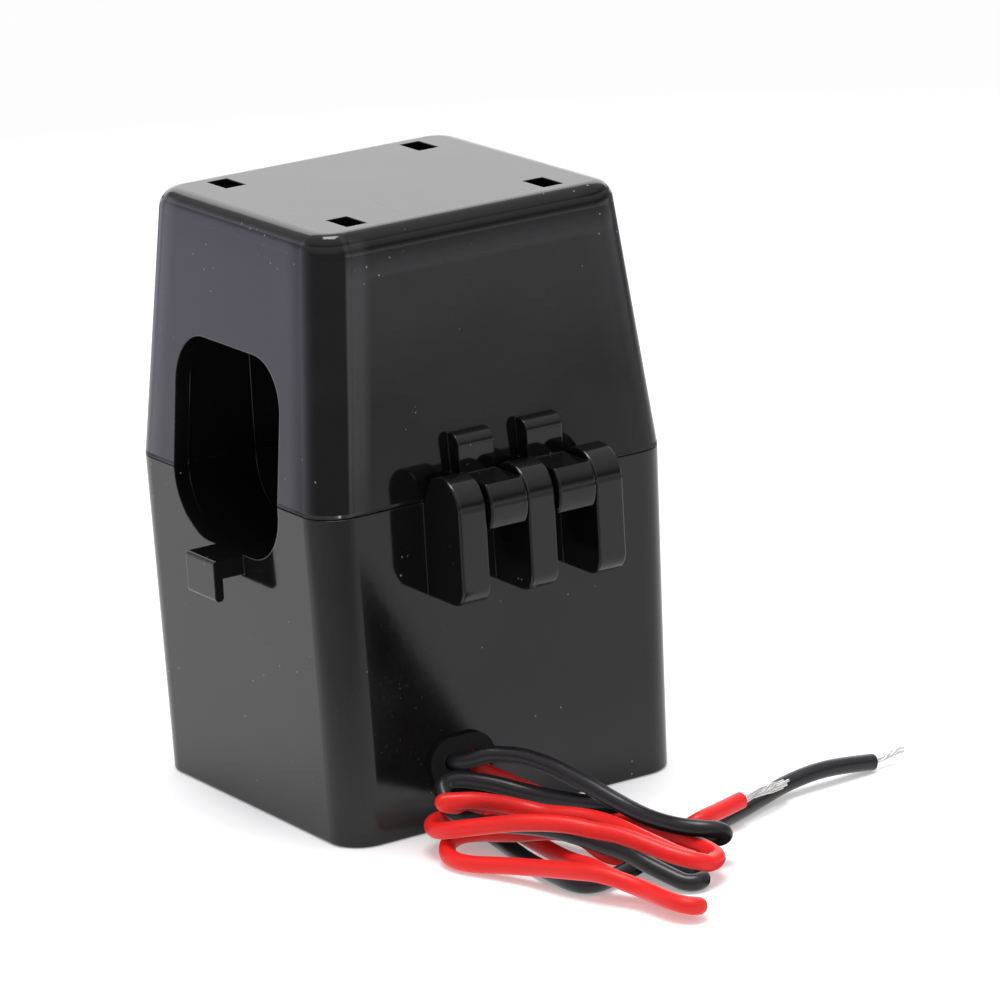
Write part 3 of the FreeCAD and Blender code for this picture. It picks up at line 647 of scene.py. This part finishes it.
class TRANSFORMER_OT_materials(bpy.types.Operator):
    """Gives every piece its material"""

    bl_idname = "transformer.materials"
    bl_label = "Piece materials"

    def execute(self, context):
        # The frame brings plain materials of the same names, so these are kept by their slot here
        MATERIALS.update(make_materials(context.scene.transformer))
        slots = {part["node"]: part["material_slot"] for part in FRAME["record"]["subparts"]}
        missing = sorted(set(slots.values()) - set(MATERIALS))
        if missing:
            raise RuntimeError("no material is made for %s" % missing)
        for node, piece in FRAME["nodes"].items():
            piece.data.materials.clear()
            piece.data.materials.append(MATERIALS[slots[node]])
        return {"FINISHED"}


class TRANSFORMER_OT_leads(bpy.types.Operator):
    """Lays the red and the black lead with their bared strands"""

    bl_idname = "transformer.leads"
    bl_label = "Leads"

    def execute(self, context):
        if not MATERIALS:
            raise RuntimeError("the piece materials come before the leads")
        settings = context.scene.transformer
        strands = lay_strands(MATERIALS["tinned_strands"])
        for colour, route in (("black", BLACK_ROUTE), ("red", RED_ROUTE)):
            insulation = MATERIALS[colour + "_insulation"]
            tube = spline_tube(colour + "_lead", route, settings.lead_diameter / 2, insulation)
            start = metres(route[0])
            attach(tube, "base")
            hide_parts(*LEAD_NODES[colour])
            route_length(route)
        return {"FINISHED"}


class TRANSFORMER_OT_stage(bpy.types.Operator):
    """Adds the white floor, the lamps and the backdrop"""

    bl_idname = "transformer.stage"
    bl_label = "Floor, lamps and backdrop"

    def execute(self, context):
        settings = context.scene.transformer
        floor = self.floor(context, settings)
        lamps = [self.lamp(context, *softbox) for softbox in SOFTBOXES]
        self.world(context, settings)
        context.scene.view_settings.view_transform = "Standard"
        return {"FINISHED"}

    def lamp(self, context, name, place, target, width, height, radiance):
        data = bpy.data.lights.new(name, "AREA")
        data.shape = "RECTANGLE"
        data.size = width
        data.size_y = height
        data.energy = radiance * math.pi * width * height
        lamp = bpy.data.objects.new(name, data)
        toward = Vector(target) - Vector(place)
        turn = toward.to_track_quat("-Z", "Y").to_matrix().to_4x4()
        lamp.matrix_world = Matrix.Translation(place) @ turn
        lamp.visible_camera = False
        context.scene.collection.objects.link(lamp)
        return lamp

    def floor(self, context, settings):
        """Flat white disc that fades into the backdrop."""
        mesh = bpy.data.meshes.new("floor")
        corners = [(0.0, 0.0, 0.0)]
        for i in range(FLOOR_CORNERS):
            angle = 2 * math.pi * i / FLOOR_CORNERS
            corners.append((math.cos(angle) * settings.floor_radius,
                            math.sin(angle) * settings.floor_radius, 0.0))
        faces = [(0, i + 1, (i + 1) % FLOOR_CORNERS + 1) for i in range(FLOOR_CORNERS)]
        mesh.from_pydata(corners, [], faces)
        mesh.materials.append(self.floor_material(settings))
        floor = bpy.data.objects.new("floor", mesh)
        floor.location = FLOOR_PLACE
        context.scene.collection.objects.link(floor)
        return floor

    def floor_material(self, settings):
        """White paper with the object's shadow. The polished faces mirror it darker, a painted dark
        reflection that only glossy rays see.
        """
        material, sheet = new_sheet("floor_white")
        spot = sheet.place()
        paper = sheet.noise(spot, scale=900.0)
        tone = sheet.blend(sheet.between(paper), rgba(PAPER[0]), rgba(PAPER[1]))
        grain = sheet.bump(paper, distance=0.00001, strength=0.1)
        ground = sheet.out(sheet.node("ShaderNodeBsdfDiffuse", None, Color=tone, Normal=grain))
        glow = self.emission(sheet, settings.backdrop, FLOOR_GLOW)
        direct = sheet.out(sheet.node("ShaderNodeAddShader", None, i0=ground, i1=glow))

        mirrored = sheet.out(sheet.node("ShaderNodeLightPath"), "Is Glossy Ray")
        front = self.ramp(sheet, spot, *FRONT_RAMP)
        right = self.ramp(sheet, spot, *RIGHT_RAMP)
        first, second, third = (self.ramp(sheet, spot, *ramp) for ramp in PATCH_RAMPS)
        # Painted dark reflection: these ramps and the patch darken the floor for glossy rays only
        patch = first * second * third
        dim = mirrored * (front * FRONT_DIM + right * RIGHT_DIM + patch * PATCH_DIM + FLOOR_DIM)
        # Past the foot of the hinge face the mirrored floor is one even glow
        even = self.emission(sheet, settings.backdrop, MIRRORED_GLOW)
        beyond = mirrored * self.ramp(sheet, spot, *BEYOND_RAMP)
        bright = sheet.mix_shaders(beyond, direct, even)
        seen = sheet.mix_shaders(dim, bright, self.emission(sheet, settings.backdrop, 0.0))

        far = sheet.vector_math("LENGTH", spot, place="Value")
        fade = sheet.clamp(far, settings.floor_radius * 0.45, settings.floor_radius * 0.95)
        clear = sheet.out(sheet.node("ShaderNodeBsdfTransparent"))
        sheet.surface(sheet.mix_shaders(fade, seen, clear))
        return material

    def ramp(self, sheet, spot, direction, low, high):
        """Rises from 0 to 1 along a direction of the floor."""
        return sheet.clamp(sheet.vector_math("DOT_PRODUCT", spot, direction, "Value"), low, high)

    def emission(self, sheet, colour, strength):
        node = sheet.node("ShaderNodeEmission", None, Color=rgba(colour), Strength=strength)
        return sheet.out(node)

    def background(self, sheet, colour, strength):
        node = sheet.node("ShaderNodeBackground", None, Color=rgba(colour), Strength=strength)
        return sheet.out(node)

    def world(self, context, settings):
        """Light tent round the object: a bright wall on the left, a low bright strip on the right,
        a soft roof and a dark front. The camera sees the plain backdrop instead of it."""
        world = bpy.data.worlds.new("backdrop")
        context.scene.world = world
        sheet = Sheet(world)
        toward = sheet.out(sheet.node("ShaderNodeTexCoord"), "Generated")
        x, y, z = (sheet.axis(toward, index) for index in range(3))
        wall = sheet.clamp(x, 0.10, -0.80)
        left = wall * wall * sheet.clamp(y, 0.1, -0.1) * sheet.clamp(z, 0.35, 0.15)
        right = sheet.clamp(y, 0.16, 0.28) * sheet.clamp(x, -0.1, 0.2)
        strip = sheet.clamp(z, -0.155, -0.10) * sheet.clamp(z, 0.12, -0.08)
        side = sheet.clamp(y, 0.47, 0.40) * sheet.clamp(z, -0.25, -0.15)
        gap = sheet.clamp(z, 0.08, 0.16) * sheet.clamp(z, 0.5, 0.3)
        glow = strip * RIGHT_STRIP + side * RIGHT_SIDE - gap * RIGHT_GAP
        roof = sheet.clamp(z, 0.20, 0.34) * ROOF_EDGE + sheet.clamp(z, 0.3, 0.8) * ROOF_MIDDLE
        light = left * LEFT_WALL + right * glow + roof + TENT_EVEN

        warm = self.background(sheet, WARM, TENT_PEAK)
        cool = self.background(sheet, COOL, TENT_PEAK)
        unlit = self.background(sheet, WARM, 0.0)
        white = self.background(sheet, settings.backdrop, 1.0)
        lit = sheet.mix_shaders(light / TENT_PEAK, unlit, sheet.mix_shaders(left, warm, cool))
        camera_ray = sheet.out(sheet.node("ShaderNodeLightPath"), "Is Camera Ray")
        sheet.surface(sheet.mix_shaders(camera_ray, lit, white), output="ShaderNodeOutputWorld")


class TRANSFORMER_PT_panel(bpy.types.Panel):
    """Sizes, colours and steps"""

    bl_idname = "TRANSFORMER_PT_panel"
    bl_label = "Current transformer"
    bl_space_type = "VIEW_3D"
    bl_region_type = "UI"
    bl_category = "Transformer"

    def draw(self, context):
        settings = context.scene.transformer
        for name in TransformerSettings.__annotations__:
            self.layout.prop(settings, name)
        for operator in OPERATORS:
            self.layout.operator(operator.bl_idname)


OPERATORS = (
    TRANSFORMER_OT_camera, TRANSFORMER_OT_materials, TRANSFORMER_OT_leads, TRANSFORMER_OT_stage)
CLASSES = (TransformerSettings,) + OPERATORS + (TRANSFORMER_PT_panel,)


def register():
    for cls in CLASSES:
        bpy.utils.register_class(cls)
    bpy.types.Scene.transformer = bpy.props.PointerProperty(type=TransformerSettings)


def unregister():
    del bpy.types.Scene.transformer
    for cls in reversed(CLASSES):
        bpy.utils.unregister_class(cls)


def main():
    register()
    bpy.ops.transformer.camera()
    bpy.ops.transformer.materials()
    bpy.ops.transformer.leads()
    bpy.ops.transformer.stage()


if __name__ == "__main__":
    main()
